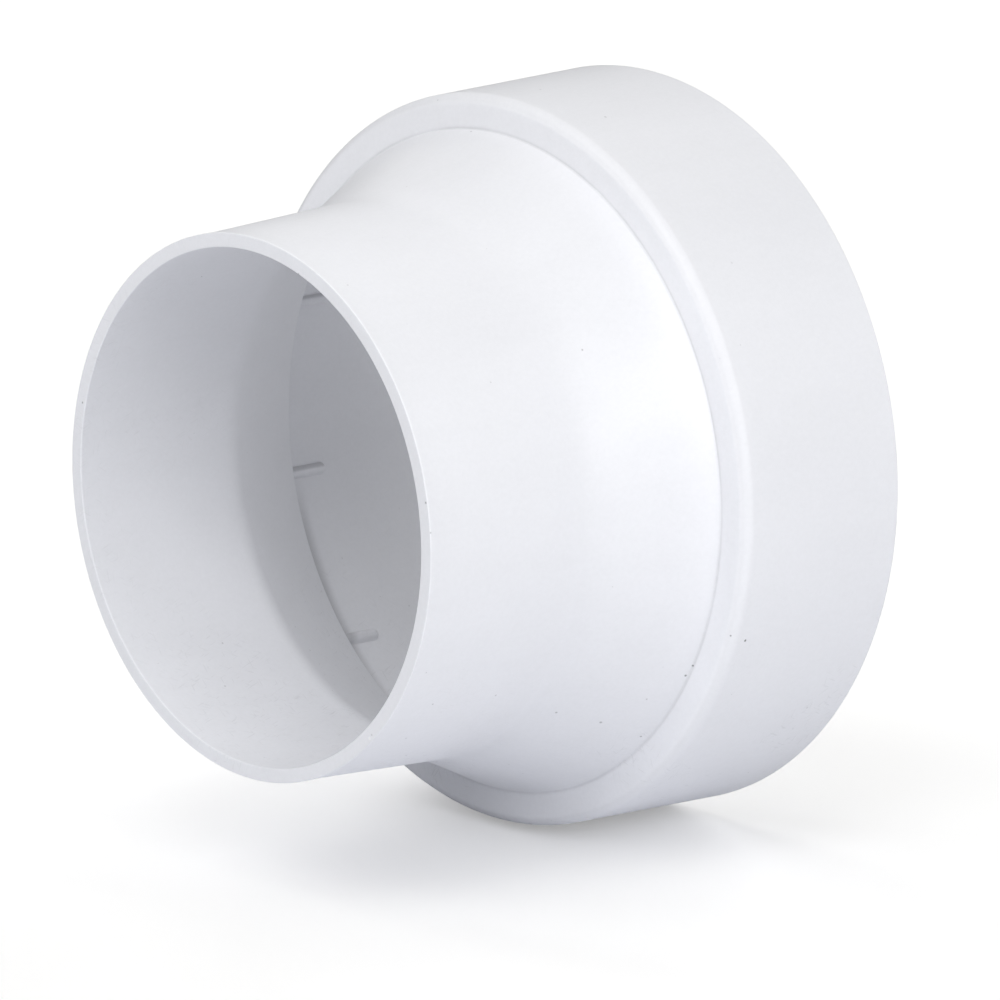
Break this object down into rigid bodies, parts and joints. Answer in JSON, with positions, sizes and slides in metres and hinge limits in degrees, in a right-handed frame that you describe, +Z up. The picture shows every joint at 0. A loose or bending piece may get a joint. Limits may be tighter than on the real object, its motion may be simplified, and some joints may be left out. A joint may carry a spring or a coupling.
{
  "type": "pipe reducer",
  "caption": "One-piece moulded PVC reducer: a plain tapered spigot, a filleted cone and a wider push-fit socket with a pipe stop and grip ribs, for joining two drain pipe sizes.",
  "frame": {"origin": "centre of the large socket's mouth, on the flow axis", "axes": "+X along the flow axis, out of the large socket's mouth, with the spigot towards -X; +Z up with the fitting lying on its side"},
  "size_m": [0.079, 0.1146, 0.1146],
  "materials": {
    "pvc_gloss": "smooth moulded rigid PVC, cool white, semi-gloss",
    "pvc_textured": "rigid PVC of the same cool white, with a fine spark-eroded texture"
  },
  "bodies": {
    "root": {"spigot_tube": "pvc_gloss", "reducing_cone": "pvc_gloss", "socket_shoulder": "pvc_textured", "socket_wall": "pvc_gloss", "grip_ribs": "pvc_textured"}
  },
  "joints": []
}
